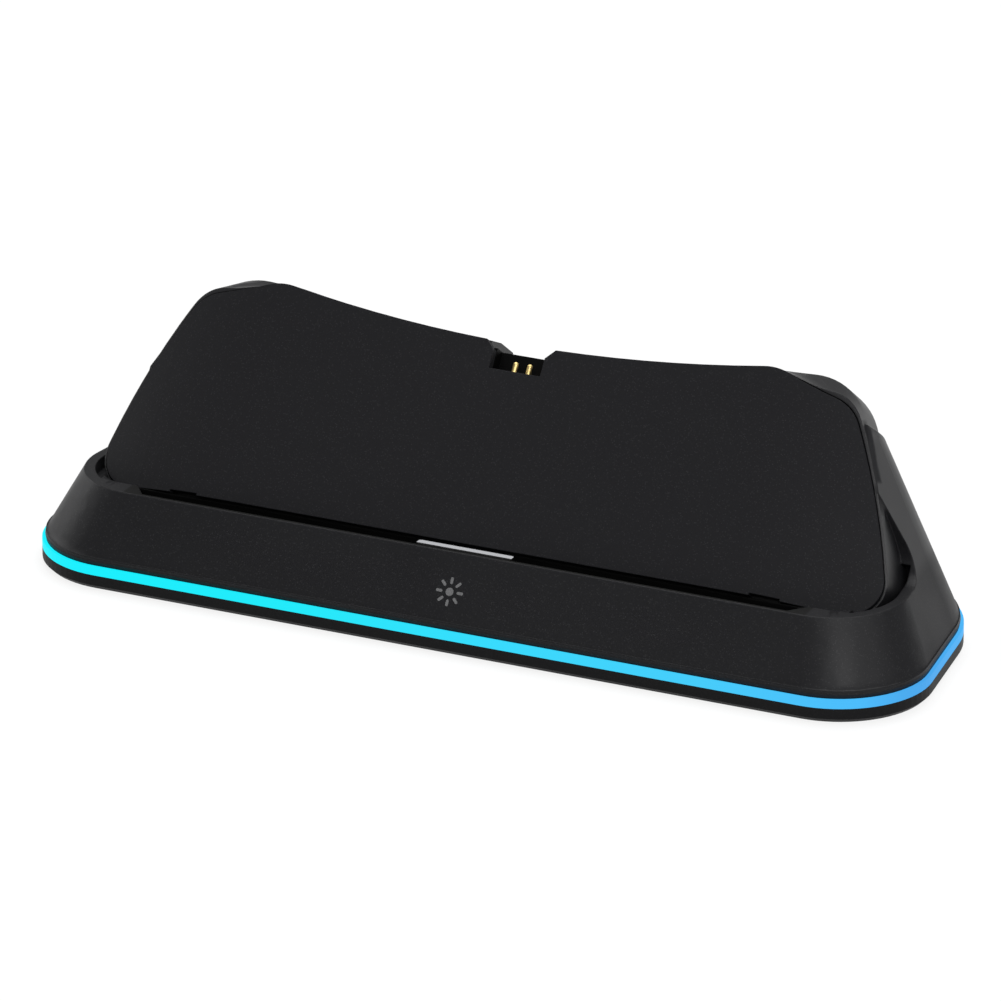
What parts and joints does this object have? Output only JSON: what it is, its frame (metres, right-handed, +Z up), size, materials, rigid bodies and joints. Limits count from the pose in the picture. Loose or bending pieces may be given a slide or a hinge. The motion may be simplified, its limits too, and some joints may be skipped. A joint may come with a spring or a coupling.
{
  "type": "handheld console charging dock",
  "caption": "Low black charging dock for a handheld game console: flared base with a light band round its foot, leaning saddle-topped tower and a notch with sprung contacts.",
  "frame": {"origin": "centre of the footprint on the surface that the feet stand on", "axes": "+X along the dock's length to the right as seen from the front, +Y to the rear, +Z up"},
  "size_m": [0.212, 0.072, 0.0618],
  "materials": {
    "shell_black": "semi-gloss moulded",
    "panel_black": "fine sparkle grain",
    "tray_black": "fine grain",
    "band_diffuser": "lit translucent",
    "bar_diffuser": "translucent",
    "foot_rubber": "matt",
    "zinc_steel": "zinc plated",
    "board_green": "solder mask",
    "chip_black": "moulded",
    "ferrite_grey": "sintered",
    "capacitor_tan": "fired",
    "lamp_white": "clear resin",
    "contact_grey": "moulded",
    "gold_plate": "gold plated",
    "lead_red": "insulated wire"
  },
  "bodies": {
    "dock": {"housing": "shell_black", "front_panel": "panel_black", "base_tray": "tray_black", "light_strip": "band_diffuser", "rubber_feet": "foot_rubber", "base_screws": "zinc_steel", "ballast_plate": "zinc_steel", "main_board": "board_green", "board_screws": "zinc_steel", "power_chip": "chip_black", "power_coil": "ferrite_grey", "capacitors": "capacitor_tan", "socket_shell": "zinc_steel", "socket_tongue": "chip_black", "band_board": "board_green", "band_lamps": "lamp_white", "light_bar": "bar_diffuser", "lamp_board": "board_green", "status_lamp": "lamp_white", "touch_board": "board_green", "touch_chip": "chip_black", "contact_board": "board_green", "contact_block": "contact_grey", "barrel_left": "gold_plate", "barrel_right": "gold_plate", "spring_left": "zinc_steel", "spring_right": "zinc_steel", "contact_leads": "lead_red", "board_leads": "lead_red"},
    "contact_left": {"plunger_left": "gold_plate"},
    "contact_right": {"plunger_right": "gold_plate"}
  },
  "joints": [
    {"name": "contact_left_press", "type": "slide", "parent": "dock", "child": "contact_left", "axis": [0, -0.5878, -0.809], "range_m": [0, 0.001], "stiffness_N_per_m": 300, "springref_m": -0.001, "deforming": ["spring_left"]},
    {"name": "contact_right_press", "type": "slide", "parent": "dock", "child": "contact_right", "axis": [0, -0.5878, -0.809], "range_m": [0, 0.001], "stiffness_N_per_m": 300, "springref_m": -0.001, "deforming": ["spring_right"]}
  ]
}
